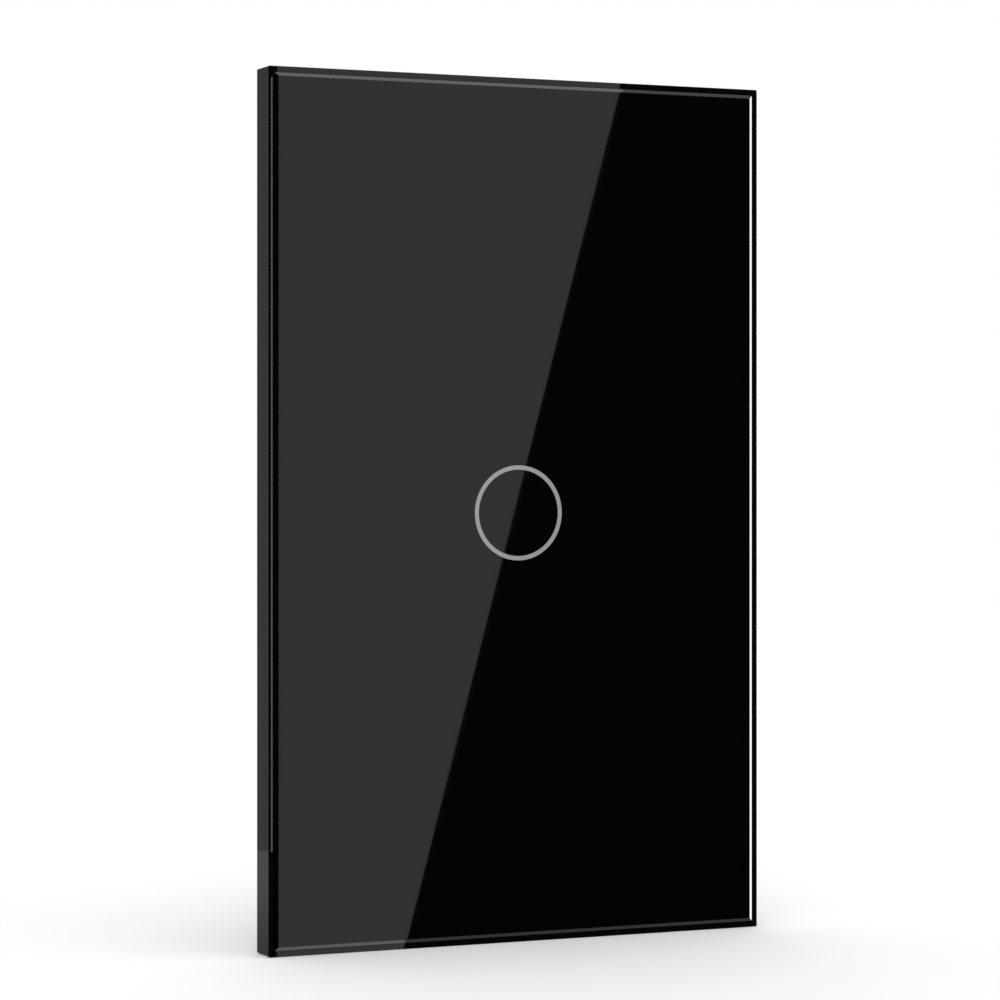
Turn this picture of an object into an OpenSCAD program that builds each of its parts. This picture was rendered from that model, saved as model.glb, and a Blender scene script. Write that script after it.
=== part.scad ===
// Wall-mounted touch light switch with a bevelled black glass front.
// The front faces -Y, +Z is up, and the wall is the plane y = 0.
// The origin is midway between the two fixing slots of the strap.

/* [Front plate] */
// Width of the plate
plate_w = 73; // [71:0.5:78]
// Height of the plate
plate_h = 118; // [116:0.5:124]
// Depth of the frame from the wall to its rim
frame_depth = 4.5; // [4.4:0.1:6]
// Corner radius of the frame, seen from the front
corner_r = 0.2; // [0.1:0.1:1]
// Width of the rim that shows round the glass
rim_w = 0.78; // [0.6:0.02:1]
// Thickness of the frame's side walls
frame_wall = 1.8; // [1.5:0.1:2.2]
// Thickness of the ledge behind the glass
web_t = 0.9; // [0.8:0.05:1.1]

/* [Glass] */
// Thickness of the glass
glass_t = 2; // [1.8:0.1:2.2]
// Width of the glass's bevel, seen from the front
bevel_w = 0.46; // [0.36:0.02:0.7]
// Depth of the glass's bevel
bevel_d = 0.30; // [0.24:0.02:0.5]
// How far the foot of the bevel stands in front of the rim
glass_proud = 0.06; // [0.02:0.02:0.2]
// Gap between the glass and the rim
glass_gap = 0.06; // [0.04:0.01:0.1]
// Outer diameter of the touch ring
ring_od = 13; // [11:0.1:13.4]
// Stroke of the touch ring
ring_stroke = 0.6; // [0.5:0.05:1]
// Depth of the ring's inlay
ring_depth = 0.3; // [0.2:0.05:0.5]
// Place of the ring's centre to the right of the plate's middle
ring_x = -0.45; // [-2:0.05:2]
// Place of the ring's centre above the plate's middle
ring_z = -0.4; // [-2:0.1:2]
// Thickness of the black coat on the back of the glass
backing_t = 0.12; // [0.08:0.02:0.16]
// Thickness of the bonding tape
tape_t = 0.25; // [0.15:0.05:0.3]

/* [Wall fixing] */
// Thickness of the steel strap
strap_t = 1.2; // [1:0.1:1.3]
// Width of the strap
strap_w = 54; // [52:1:60]
// Gap between an end of the strap and the frame
strap_end_gap = 4.2; // [3:0.1:6]
// Distance between the two fixing slots
slot_spacing = 83.3; // [82:0.1:85]
// Width of a fixing slot
slot_w = 4.2; // [3.8:0.1:4.6]
// Length of a fixing slot
slot_len = 7; // [6:0.5:8]

/* [Housing] */
// Width of the housing
housing_w = 46; // [46:1:50]
// Height of the housing
housing_h = 66; // [66:1:68]
// Depth of the housing behind the wall
housing_depth = 27; // [27:0.5:29]
// Thickness of the housing's walls
housing_wall = 1.8; // [1.6:0.1:2]

/* [Terminals] */
// Distance from one terminal to the next
pole_pitch = 9; // [8.8:0.1:9.2]
// Width and height of a wire entry
wire_gap = 4.5; // [4.3:0.1:4.6]
// Travel of a wire clamp
clamp_travel = 2.4; // [2:0.1:2.5]
// Radius of a terminal screw's thread
screw_r = 1.5; // [1.3:0.1:1.6]
// Radial clearance of a terminal screw
screw_gap = 0.05; // [0.03:0.01:0.08]

/* [Touch spring] */
// Mean radius of the touch spring
spring_r = 4.2; // [3.6:0.1:4.4]
// Diameter of its wire
spring_wire = 0.5; // [0.4:0.05:0.6]
// Number of turns
spring_turns = 4; // [3:1:4]

/* [Hidden] */
$fn = 64;
// Overlap of a cutting shape past the face that it cuts
past = 1;
// Clearance of loose flat fits
loose = 0.2;

// Planes of the front panel, from the front to the wall
rim_y = -frame_depth;
bevel_foot_y = rim_y - glass_proud;
glass_y = bevel_foot_y - bevel_d;
glass_back_y = glass_y + glass_t;
backing_y = glass_back_y + backing_t;
web_y = backing_y + tape_t;
web_back_y = web_y + web_t;
glass_w = plate_w - 2 * (rim_w + glass_gap);
glass_h = plate_h - 2 * (rim_w + glass_gap);
recess_w = plate_w - 2 * rim_w;
recess_h = plate_h - 2 * rim_w;
frame_in_w = plate_w - 2 * frame_wall;
frame_in_h = plate_h - 2 * frame_wall;
strap_h = frame_in_h - 2 * strap_end_gap;
// Plan radius of the glass corners
glass_corner_r = 0.2;

// Window of the ledge and the two openings over the fixing slots
window_w = 50;
window_h = 68;
window_r = 4;
screw_window_w = 14;
screw_window_room = 7;
screw_window_h = slot_len + screw_window_room;

// Snap hooks of the frame and their slots in the strap
hook_x = 17;
hook_z = 38;
hook_w = 4;
hook_t = 1.2;
hook_barb = 0.5;
hook_reach = 1.8;
hook_catch = 0.4;
hook_clear = 0.35;
// Pry slot in the lower side of the frame
pry_w = 8;
pry_d = 1.2;

// Ring and what lights it
ring_r = ring_od / 2;
diffuser_r = ring_r + 0.55;
diffuser_in_r = spring_r + spring_wire / 2 + 0.5;
diffuser_t = 0.8;
shroud_in_r = diffuser_r + 0.4;
shroud_t = 1;
shroud_out_r = shroud_in_r + shroud_t;
shroud_y = backing_y + 0.35;

// Strap window, housing planes and boards
inner_w = housing_w - 2 * housing_wall;
inner_h = housing_h - 2 * housing_wall;
housing_r = 2;
housing_floor_y = housing_depth - housing_wall;
boss_r = 2.8;
boss_x = inner_w / 2 - boss_r;
boss_z = inner_h / 2 - boss_r;
boss_depth = 8.5;
notch = 2 * boss_r + loose;
strap_land = 3.4;
strap_window_w = 2 * (boss_x - strap_land);
strap_window_h = 2 * (boss_z - strap_land);
strap_r = 3;
mark_w = 3;
mark_d = 1;
vent_count = 7;
vent_pitch = 4.6;
vent_w = 1.4;
vent_y = 12;
vent_len = 10;
label_w = 32;
label_h = 24;
label_d = 0.3;
label_z = 10;
cover_t = 1.2;
cover_post_inset_x = 8.2;
cover_post_inset_z = 10.2;
cover_post_x = inner_w / 2 - cover_post_inset_x;
cover_post_z = inner_h / 2 - cover_post_inset_z;
cover_post_r = 1.8;
touch_board_y = 3.2;
touch_board_t = 1.2;
touch_board_back_y = touch_board_y + touch_board_t;
power_board_y = 9;
power_board_t = 1.6;
power_board_back_y = power_board_y + power_board_t;
board_w = inner_w - 2 * loose;
board_h = inner_h - 2 * loose;

// Small screws
strap_screw_r = 1.2;
strap_screw_len = 6;
strap_head_r = 2.3;
strap_head_t = 1.1;
small_screw_r = 0.8;
small_screw_len = 3;
small_head_r = 1.6;
small_head_t = 0.9;
drive_depth = 0.5;
drive_w = 0.6;
drive_len = 2.2;
tip_room = 0.4;
board_screw_len = touch_board_back_y - cover_t / 2 - tip_room;
board_hole_gap = 0.15;

// Touch spring, with a foot on the board and a tip near the glass
spring_foot_y = touch_board_y;
spring_tip_y = backing_y + 0.3;
spring_rings = 8;
spring_sides = 6;
spring_steps = spring_turns * spring_rings;
spring_rise = 0.6;
spring_pitch = (spring_foot_y - spring_tip_y - spring_rise - spring_wire / 2) / spring_turns;

// Parts on the touch board
led_r = ring_r - ring_stroke / 2;
led_count = 4;
led_size = [1.25, 0.8, 2];
chip_size = [5, 1.5, 4];
chip_at = [10, touch_board_back_y, 4];
lead_count = 4;
lead_pitch = 1.27;
header_count = 5;
header_pitch = 2.54;
header_inset = 9.2;
header_z = -inner_h / 2 + header_inset;
header_w = header_count * header_pitch;
header_d = 2.5;
socket_depth = 2.5;
pin_r = 0.32;

// Terminals: the block fills a cut in the lower back of the housing
block_w = 3 * pole_pitch + 1;
block_low_z = -housing_h / 2 + 0.4;
block_h = 14;
block_top_z = block_low_z + block_h;
block_y = power_board_back_y + 2;
block_back_y = housing_depth - 0.4;
block_cut_w = block_w + 2 * loose;
cut_y = block_y - loose;
partition_t = 1.4;
partition_z = block_top_z + 2.2;
mouth_t = 2.2;
back_wall_t = 1.6;
clamp_wall = 0.9;
clamp_nut_t = 1.2;
bar_t = 0.8;
bar_w = wire_gap - 0.5;
clamp_gap = 0.25;
clamp_w = wire_gap + 2 * clamp_wall;
clamp_len = block_h - mouth_t - back_wall_t - 2 * clamp_gap;
clamp_h = clamp_wall + wire_gap + bar_t + clamp_gap + clamp_nut_t;
pocket_w = clamp_w + 2 * clamp_gap;
pocket_y = block_y + 0.7;
pocket_depth = clamp_h + clamp_travel + 2 * clamp_gap;
pocket_back_y = pocket_y + pocket_depth;
pocket_low_z = block_low_z + mouth_t;
pocket_top_z = block_top_z - back_wall_t;
clamp_y = pocket_y + clamp_gap;
wire_y = clamp_y + clamp_wall;
bar_y = wire_y + wire_gap;
nut_y = bar_y + bar_t + clamp_gap;
seat_t = 0.8;
seat_y = pocket_back_y + seat_t;
screw_z = (pocket_low_z + pocket_top_z) / 2;
head_r = 2.8;
head_gap = 0.15;
head_t = block_back_y - seat_y - 2 * head_gap;
screw_tip_y = nut_y + 0.05;
foot_z = block_low_z + 3;
foot_len = 8;
tail_z = block_top_z + 0.4;

// Relay, on the back of the power board at the upper left
relay_w = 15.2;
relay_len = 19;
relay_h = 13.6;
relay_x = -inner_w / 2 + 1 + relay_w / 2;
relay_z = inner_h / 2 - 1.5 - relay_len / 2;
relay_y = power_board_back_y;
relay_wall = 0.8;
relay_base_t = 1.4;
relay_in_w = relay_w - 2 * relay_wall - 0.2;
relay_in_len = relay_len - 2 * relay_wall - 0.2;
relay_base_y = relay_y + relay_base_t;
coil_z = relay_z + 0.6;
coil_r = 4;
coil_flange_r = 4.5;
core_r = 1.5;
yoke_t = 1;
coil_y = relay_base_y + yoke_t;
coil_len = 6.4;
pole_y = coil_y + coil_len + 0.4;
air_gap = 0.6;
armature_t = 0.9;
armature_w = 8;
armature_y = pole_y + air_gap;
yoke_z = coil_z + coil_flange_r + 0.4;
hinge_z = yoke_z + yoke_t / 2;
hinge_y = armature_y + armature_t / 2;
hinge_pin_r = 0.35;
hinge_gap = 0.05;
ear_x = armature_w / 2 + 0.3;
ear_t = 0.9;
ear_r = 0.8;
ear_low = 1.2;
contact_r = 1.3;
contact_t = 0.6;
contact_z = relay_z - relay_in_len / 2 + contact_r + 0.8;
contact_gap = 0.75;
blade_w = 4;
blade_t = 0.8;
fixed_y = armature_y - contact_t - contact_gap;

// Other parts on the back of the power board
mains_gap = 6;
mains_z = partition_z + mains_gap;
transformer_inset_x = 9;
transformer_inset_z = 10.5;
transformer_lift = 1;
transformer_at = [inner_w / 2 - transformer_inset_x, power_board_back_y, inner_h / 2 - transformer_inset_z];
transformer_core_size = [13, 11, 5.4];
bobbin_size = [9, 7, 13];
bobbin_foot_h = 4;
bobbin_foot_t = 1.5;
bobbin_lift = transformer_lift + (transformer_core_size.y - bobbin_size.y) / 2;
bulk_cap_r = 4;
bulk_cap_h = 11.5;
bulk_cap_inset = 6;
bulk_cap_rise = 9.5;
bulk_cap_at = [inner_w / 2 - bulk_cap_inset, power_board_back_y, mains_z + bulk_cap_rise];
film_cap_size = [12.5, 11, 5.2];
film_cap_gap = 1.8;
film_cap_at = [relay_x, power_board_back_y, relay_z - relay_len / 2 - film_cap_gap - film_cap_size.z / 2];
varistor_r = 3.8;
varistor_t = 3.4;
varistor_x = 1.5;
varistor_rise = 6.5;
varistor_lead_x = 2.2;
varistor_lead_r = 0.4;
varistor_at = [varistor_x, power_board_back_y, mains_z + varistor_rise];
fuse_r = 4.1;
fuse_h = 7.6;
fuse_inset = 7;
fuse_at = [-inner_w / 2 + fuse_inset, power_board_back_y, mains_z];
bridge_size = [6.4, 2.6, 4.6];
bridge_x = 8.5;
bridge_drop = 1.5;
bridge_at = [bridge_x, power_board_back_y, mains_z - bridge_drop];
post_r = 2.2;
post_inset = 3;
post_x = -3.8;
post_places = [[inner_w / 2 - post_inset, mains_z - bridge_drop], [post_x, mains_z]];
lead_stub = 0.8;

// Colours
glass_black = [0.02, 0.02, 0.025];
plastic_black = [0.06, 0.06, 0.065];
ring_grey = [0.63, 0.63, 0.62];
housing_grey = [0.80, 0.80, 0.78];
steel = [0.72, 0.73, 0.75];
brass = [0.78, 0.64, 0.34];
board_green = [0.05, 0.30, 0.18];
white_plastic = [0.92, 0.92, 0.90];

// Shared shapes

// Rounded rectangle with true corner arcs
module rounded(w, h, r) {
    square([w - 2 * r, h], center = true);
    square([w, h - 2 * r], center = true);
    for (sx = [-1, 1], sz = [-1, 1])
        translate([sx * (w / 2 - r), sz * (h / 2 - r)])
            circle(r);
}

// Extrusion of a flat outline from plane y0 to plane y1
module spread(y0, y1) {
    translate([0, y1, 0])
        rotate([90, 0, 0])
            linear_extrude(y1 - y0)
                children();
}

// Box between two corners
module box(low, high) {
    translate(low)
        cube(high - low);
}

// Box that stands on plane at.y and is centred on at.x and at.z
module stand(at, size) {
    translate([at.x - size.x / 2, at.y, at.z - size.z / 2])
        cube(size);
}

// Round bar along Y
module rod(r, y0, y1) {
    translate([0, y1, 0])
        rotate([90, 0, 0])
            cylinder(r = r, h = y1 - y0);
}

// Cross-head screw along Y, with the face under its head on y = 0 and its head toward -Y
module screw(r, len, r_head, t_head) {
    difference() {
        union() {
            rod(r, -t_head / 2, len);
            rod(r_head, -t_head, 0);
        }
        for (turn = [0, 90])
            rotate([0, turn, 0])
                box([-drive_len / 2, -t_head - past, -drive_w / 2],
                    [drive_len / 2, drive_depth - t_head, drive_w / 2]);
    }
}

// Copies at the four mirrored places
module four(x, z) {
    for (sx = [-1, 1], sz = [-1, 1])
        translate([sx * x, 0, sz * z])
            children();
}

// Front panel

// Moves what lies behind the ring to the ring's centre
module at_ring() {
    translate([ring_x, 0, ring_z])
        children();
}

// Bevelled plate before the ring's groove is cut
module bevelled_plate(w, h) {
    intersection() {
        spread(glass_y, glass_back_y)
            rounded(w, h, glass_corner_r);
        bevel_profile(w, h);
        rotate([0, 90, 0])
            bevel_profile(h, w);
    }
}

// Prism along Z with the bevelled cross-section of the glass
module bevel_profile(w, len) {
    translate([0, 0, -len / 2 - past])
        linear_extrude(len + 2 * past)
            polygon([[-w / 2, glass_back_y], [-w / 2, bevel_foot_y], [-w / 2 + bevel_w, glass_y],
                [w / 2 - bevel_w, glass_y], [w / 2, bevel_foot_y], [w / 2, glass_back_y]]);
}

// Ring outline of the touch mark
module ring_band() {
    difference() {
        circle(ring_r);
        circle(ring_r - ring_stroke);
    }
}

module glass_panel() {
    color(glass_black)
        difference() {
            bevelled_plate(glass_w, glass_h);
            at_ring()
                spread(glass_y - past, glass_y + ring_depth)
                    ring_band();
        }
}

module touch_ring() {
    color(ring_grey)
        at_ring()
            spread(glass_y, glass_y + ring_depth)
                ring_band();
}

module glass_backing() {
    color(plastic_black)
        spread(glass_back_y, backing_y)
            rounded(glass_w, glass_h, glass_corner_r);
}

// Ledge outline: the window and the two openings over the fixing slots
module ledge_openings() {
    rounded(window_w, window_h, window_r);
    for (s = [-1, 1])
        translate([0, s * slot_spacing / 2])
            rounded(screw_window_w, screw_window_h, 2);
}

module panel_tape() {
    color([0.15, 0.15, 0.15])
        spread(backing_y, web_y)
            difference() {
                rounded(glass_w - 1, glass_h - 1, glass_corner_r);
                ledge_openings();
            }
}

// Snap finger behind the ledge, with its barb toward +Z
module hook() {
    rotate([90, 0, 90])
        translate([0, 0, -hook_w / 2])
            linear_extrude(hook_w)
                polygon([[web_back_y, -hook_t / 2], [hook_reach, -hook_t / 2], [hook_reach, 0],
                    [2 * hook_catch, hook_t / 2 + hook_barb], [hook_catch, hook_t / 2 + hook_barb],
                    [hook_catch / 2, hook_t / 2], [web_back_y, hook_t / 2]]);
}

module panel_frame() {
    color(plastic_black) {
        difference() {
            spread(rim_y, 0)
                rounded(plate_w, plate_h, corner_r);
            spread(rim_y - past, web_y)
                rounded(recess_w, recess_h, glass_corner_r);
            spread(web_back_y, past)
                rounded(frame_in_w, frame_in_h, corner_r);
            spread(web_y - past, web_back_y + past)
                ledge_openings();
            box([-pry_w / 2, -pry_d, -plate_h / 2 - past], [pry_w / 2, past, -frame_in_h / 2 + past]);
        }
        for (sx = [-1, 1], sz = [0, 1])
            mirror([0, 0, sz])
                translate([sx * hook_x, 0, hook_z])
                    hook();
    }
}

module light_diffuser() {
    color([0.95, 0.95, 0.92])
        at_ring()
            spread(backing_y, backing_y + diffuser_t)
                difference() {
                    circle(diffuser_r);
                    circle(diffuser_in_r);
                }
}

// Wall side

// Fixing slot, along Z
module fixing_slot() {
    for (s = [-1, 1])
        translate([0, s * (slot_len - slot_w) / 2])
            circle(slot_w / 2);
    square([slot_w, slot_len - slot_w], center = true);
}

module mounting_strap() {
    color(steel)
        difference() {
            spread(-strap_t, 0)
                difference() {
                    rounded(strap_w, strap_h, strap_r);
                    rounded(strap_window_w, strap_window_h, 1);
                    for (s = [-1, 1])
                        translate([0, s * slot_spacing / 2])
                            fixing_slot();
                    for (sx = [-1, 1], sz = [-1, 1])
                        translate([sx * hook_x, sz * (hook_z + hook_barb / 2)])
                            square([hook_w, hook_t + hook_barb] + 2 * hook_clear * [1, 1], center = true);
                }
            four(boss_x, boss_z)
                rod(strap_screw_r + loose, -strap_t - past, past);
            levelling_marks();
        }
}

// Small notches in the ends of the strap, for lining it up
module levelling_marks() {
    for (s = [-1, 1])
        translate([0, 0, s * strap_h / 2])
            box([-mark_w / 2, -strap_t - past, -mark_d], [mark_w / 2, past, mark_d]);
}

// Boss in each corner of the housing that takes a strap screw
module housing_bosses() {
    for (sx = [-1, 1], sz = [-1, 1])
        difference() {
            union() {
                translate([sx * boss_x, 0, sz * boss_z])
                    rod(boss_r, 0, boss_depth);
                box([sx > 0 ? boss_x : -inner_w / 2 - housing_wall / 2, 0,
                    sz > 0 ? boss_z : -inner_h / 2 - housing_wall / 2],
                    [sx > 0 ? inner_w / 2 + housing_wall / 2 : -boss_x, boss_depth,
                    sz > 0 ? inner_h / 2 + housing_wall / 2 : -boss_z]);
            }
            translate([sx * boss_x, 0, sz * boss_z])
                rod(strap_screw_r + screw_gap, -past, strap_screw_len);
        }
}

// Row of slots through the top wall that let warm air out
module housing_vents() {
    for (i = [0 : vent_count - 1])
        translate([(i - (vent_count - 1) / 2) * vent_pitch, 0, 0])
            box([-vent_w / 2, vent_y, inner_h / 2 - past],
                [vent_w / 2, vent_y + vent_len, housing_h / 2 + past]);
}

module rear_housing() {
    color(housing_grey) {
        difference() {
            spread(0, housing_depth)
                rounded(housing_w, housing_h, housing_r);
            spread(-past, housing_floor_y)
                rounded(inner_w, inner_h, 0.5);
            box([-block_cut_w / 2, cut_y, -housing_h / 2 - past],
                [block_cut_w / 2, housing_depth + past, partition_z]);
            housing_vents();
            stand([0, housing_depth - label_d, label_z], [label_w, label_d + past, label_h]);
        }
        housing_bosses();
        box([-inner_w / 2 - housing_wall / 2, power_board_back_y + loose, partition_z],
            [inner_w / 2 + housing_wall / 2, housing_floor_y + housing_wall / 2, partition_z + partition_t]);
        for (p = post_places)
            difference() {
                translate([p.x, 0, p.y])
                    rod(post_r, power_board_back_y, housing_floor_y + housing_wall / 2);
                translate([p.x, 0, p.y])
                    rod(small_screw_r + screw_gap, 0, power_board_back_y + small_screw_len);
            }
    }
}

module front_cover() {
    color(white_plastic)
        difference() {
            union() {
                spread(0, cover_t)
                    difference() {
                        rounded(inner_w - 2 * loose, inner_h - 2 * loose, 0.5);
                        for (sx = [-1, 1], sz = [-1, 1])
                            translate([sx * inner_w / 2, sz * inner_h / 2])
                                square(2 * notch, center = true);
                    }
                four(cover_post_x, cover_post_z)
                    rod(cover_post_r, cover_t / 2, touch_board_y);
            }
            at_ring()
                rod(shroud_out_r + loose, -past, cover_t + past);
            four(cover_post_x, cover_post_z)
                rod(small_screw_r + screw_gap, cover_t / 2 + tip_room / 2, touch_board_y + past);
        }
}

module strap_screws() {
    color(steel)
        four(boss_x, boss_z)
            translate([0, -strap_t, 0])
                screw(strap_screw_r, strap_screw_len + strap_t - tip_room, strap_head_r, strap_head_t);
}

// Touch side

// Board outline with its corners cut for the bosses
module board_outline() {
    difference() {
        rounded(board_w, board_h, 0.5);
        for (sx = [-1, 1], sz = [-1, 1])
            translate([sx * inner_w / 2, sz * inner_h / 2])
                square(2 * notch, center = true);
    }
}

module touch_board() {
    color(board_green)
        difference() {
            spread(touch_board_y, touch_board_back_y)
                board_outline();
            four(cover_post_x, cover_post_z)
                rod(small_screw_r + board_hole_gap, touch_board_y - past, touch_board_back_y + past);
        }
}

// Point of the spring's centre line: steps -2 and -1 are its leg, then come the turns
function spring_point(i) = let (a = 360 * max(i, 0) / spring_rings)
    i == -2 ? [spring_r, spring_foot_y, -spring_wire]
    : i == -1 ? [spring_r, spring_foot_y - spring_rise * 0.8, -spring_wire * 0.7]
    : [spring_r * cos(a), spring_foot_y - spring_rise - spring_pitch * i / spring_rings, spring_r * sin(a)];

// Direction across the wire there, square to the radius
function spring_across(i) = i == -2 ? [0, 0, -1] : i == -1 ? [0, -sqrt(0.5), -sqrt(0.5)] : [0, -1, 0];

// Ring of wire points round the centre line
function spring_ring(i) = let (a = 360 * max(i, 0) / spring_rings)
    [for (k = [0 : spring_sides - 1])
        let (t = 360 * k / spring_sides)
        spring_point(i) + spring_wire / 2 * (cos(t) * [cos(a), 0, sin(a)] + sin(t) * spring_across(i))];

// Least gap between wire of neighbouring turns, measured on the points
spring_gap = min([for (i = [-2 : spring_steps - spring_rings])
    norm(spring_point(max(i, 0) + spring_rings) - spring_point(i)) - spring_wire]);
echo(str("touch_spring least gap to itself: ", spring_gap, " mm"));

module touch_spring() {
    points = [for (i = [-2 : spring_steps]) each spring_ring(i)];
    last = (spring_steps + 2) * spring_sides;
    sides = [for (i = [0 : spring_steps + 1], k = [0 : spring_sides - 1])
        let (a = i * spring_sides + k, b = i * spring_sides + (k + 1) % spring_sides)
        each [[a, a + spring_sides, b], [b, a + spring_sides, b + spring_sides]]];
    ends = [for (k = [1 : spring_sides - 2])
        each [[0, k, k + 1], [last, last + k + 1, last + k]]];
    color(brass)
        at_ring()
            polyhedron(points, concat(sides, ends));
}

module led_shroud() {
    color(white_plastic)
        at_ring()
            spread(shroud_y, touch_board_y)
                difference() {
                    circle(shroud_out_r);
                    circle(shroud_in_r);
                }
}

module indicator_leds() {
    color([0.95, 0.93, 0.80])
        at_ring()
            for (i = [0 : led_count - 1])
                rotate([0, 45 + 360 * i / led_count, 0])
                    stand([led_r, touch_board_y - led_size.y, 0], led_size);
}

module touch_chip() {
    color([0.10, 0.10, 0.10])
        stand(chip_at + [0, 0.15, 0], chip_size - [0, 0.15, 0]);
    color(steel)
        for (s = [-1, 1], i = [0 : lead_count - 1])
            stand(chip_at + [(i - (lead_count - 1) / 2) * lead_pitch, 0, s * (chip_size.z / 2 + 0.4)],
                [0.45, 0.4, 0.8]);
}

module board_screws() {
    color(steel)
        four(cover_post_x, cover_post_z)
            translate([0, touch_board_back_y, 0])
                mirror([0, 1, 0])
                    screw(small_screw_r, board_screw_len, small_head_r, small_head_t);
}

// Plug between the boards

// Places of the header's pins along X
pin_xs = [for (i = [0 : header_count - 1]) (i - (header_count - 1) / 2) * header_pitch];

module board_socket() {
    color([0.08, 0.08, 0.08])
        difference() {
            stand([0, touch_board_back_y, header_z], [header_w, socket_depth, header_d]);
            for (x = pin_xs)
                translate([x, 0, header_z])
                    rod(pin_r + 0.1, touch_board_back_y + 0.5, touch_board_back_y + socket_depth + past);
        }
}

module board_header() {
    color([0.08, 0.08, 0.08])
        difference() {
            stand([0, touch_board_back_y + socket_depth + loose, header_z],
                [header_w, power_board_y - touch_board_back_y - socket_depth - loose, header_d]);
            for (x = pin_xs)
                translate([x, 0, header_z])
                    rod(pin_r + 0.02, touch_board_back_y, power_board_y + past);
        }
}

module header_pins() {
    color(brass)
        for (x = pin_xs)
            translate([x, 0, header_z])
                rod(pin_r, touch_board_back_y + 0.8, power_board_y);
}

// Power side

module power_board() {
    color(board_green)
        difference() {
            spread(power_board_y, power_board_back_y)
                rounded(board_w, board_h, 0.5);
            for (p = post_places)
                translate([p.x, 0, p.y])
                    rod(small_screw_r + board_hole_gap, power_board_y - past, power_board_back_y + past);
        }
}

module power_screws() {
    color(steel)
        for (p = post_places)
            translate([p.x, power_board_y, p.y])
                screw(small_screw_r, power_board_t + small_screw_len - tip_room, small_head_r, small_head_t);
}

module transformer_core() {
    color([0.22, 0.22, 0.23])
        difference() {
            stand(transformer_at + [0, transformer_lift, 0], transformer_core_size);
            stand(transformer_at + [0, bobbin_lift, 0], bobbin_size);
        }
}

module transformer_winding() {
    color([0.85, 0.72, 0.20]) {
        stand(transformer_at + [0, bobbin_lift, 0], bobbin_size);
        for (s = [-1, 1])
            translate([0, 0, s * (bobbin_size.z - bobbin_foot_t) / 2])
                stand(transformer_at, [bobbin_size.x, bobbin_foot_h, bobbin_foot_t]);
    }
}

module bulk_capacitor() {
    color([0.12, 0.14, 0.22])
        translate([bulk_cap_at.x, 0, bulk_cap_at.z])
            rod(bulk_cap_r, bulk_cap_at.y, bulk_cap_at.y + bulk_cap_h);
}

module film_capacitor() {
    color([0.88, 0.74, 0.16])
        stand(film_cap_at, film_cap_size);
}

module surge_varistor() {
    color([0.10, 0.28, 0.62])
        translate([varistor_at.x, varistor_at.y + lead_stub + varistor_r, varistor_at.z - varistor_t / 2])
            cylinder(r = varistor_r, h = varistor_t);
    color(steel)
        for (s = [-1, 1])
            translate([varistor_at.x + s * varistor_lead_x, 0, varistor_at.z])
                rod(varistor_lead_r, varistor_at.y, varistor_at.y + lead_stub + varistor_r / 2);
}

module fuse() {
    color([0.25, 0.13, 0.09])
        translate([fuse_at.x, 0, fuse_at.z])
            rod(fuse_r, fuse_at.y, fuse_at.y + fuse_h);
}

module bridge_rectifier() {
    color([0.10, 0.10, 0.10])
        stand(bridge_at, bridge_size);
}

// Relay

module relay_base() {
    color([0.15, 0.15, 0.16])
        stand([relay_x, relay_y, relay_z], [relay_in_w, relay_base_t, relay_in_len]);
}

module relay_case() {
    color([0.10, 0.22, 0.45])
        difference() {
            stand([relay_x, relay_y, relay_z], [relay_w, relay_h, relay_len]);
            stand([relay_x, relay_y - past, relay_z],
                [relay_w - 2 * relay_wall, relay_h - relay_wall + past, relay_len - 2 * relay_wall]);
        }
}

module relay_coil() {
    color([0.72, 0.38, 0.20])
        translate([relay_x, 0, coil_z])
            difference() {
                union() {
                    rod(coil_r, coil_y, coil_y + coil_len);
                    rod(coil_flange_r, coil_y, coil_y + 0.6);
                    rod(coil_flange_r, coil_y + coil_len - 0.6, coil_y + coil_len);
                }
                rod(core_r + 0.1, coil_y - past, coil_y + coil_len + past);
            }
}

// Round bar on the armature's hinge axis, reaching half to each side
module hinge_bar(r, half) {
    translate([relay_x - half, hinge_y, hinge_z])
        rotate([0, 90, 0])
            cylinder(r = r, h = 2 * half);
}

module relay_yoke() {
    color(steel) {
        translate([relay_x, 0, coil_z])
            rod(core_r, relay_base_y, pole_y);
        box([relay_x - armature_w / 2, relay_base_y, coil_z - coil_r],
            [relay_x + armature_w / 2, coil_y, yoke_z + yoke_t]);
        box([relay_x - ear_x - ear_t, relay_base_y, yoke_z],
            [relay_x + ear_x + ear_t, armature_y - loose, yoke_z + yoke_t]);
        for (s = [-1, 1])
            difference() {
                translate([relay_x + s * (ear_x + ear_t / 2), hinge_y - ear_low, hinge_z])
                    stand([0, 0, 0], [ear_t, ear_low + ear_r, 2 * ear_r]);
                hinge_bar(hinge_pin_r + hinge_gap, ear_x + ear_t + past);
            }
    }
}

module relay_contacts() {
    color(brass) {
        box([relay_x - blade_w / 2, relay_base_y, contact_z - blade_t / 2],
            [relay_x + blade_w / 2, fixed_y - contact_t, contact_z + blade_t / 2]);
        translate([relay_x, 0, contact_z])
            rod(contact_r, fixed_y - contact_t, fixed_y);
    }
}

module relay_armature() {
    color(steel) {
        box([relay_x - armature_w / 2, armature_y, contact_z - contact_r],
            [relay_x + armature_w / 2, armature_y + armature_t, hinge_z]);
        hinge_bar(armature_t / 2, armature_w / 2);
        hinge_bar(hinge_pin_r, ear_x + ear_t);
    }
    color(brass)
        translate([relay_x, 0, contact_z])
            rod(contact_r, armature_y - contact_t, armature_y);
}

// Terminals

// Place of each terminal along X
pole_xs = [for (i = [-1 : 1]) i * pole_pitch];

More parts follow.
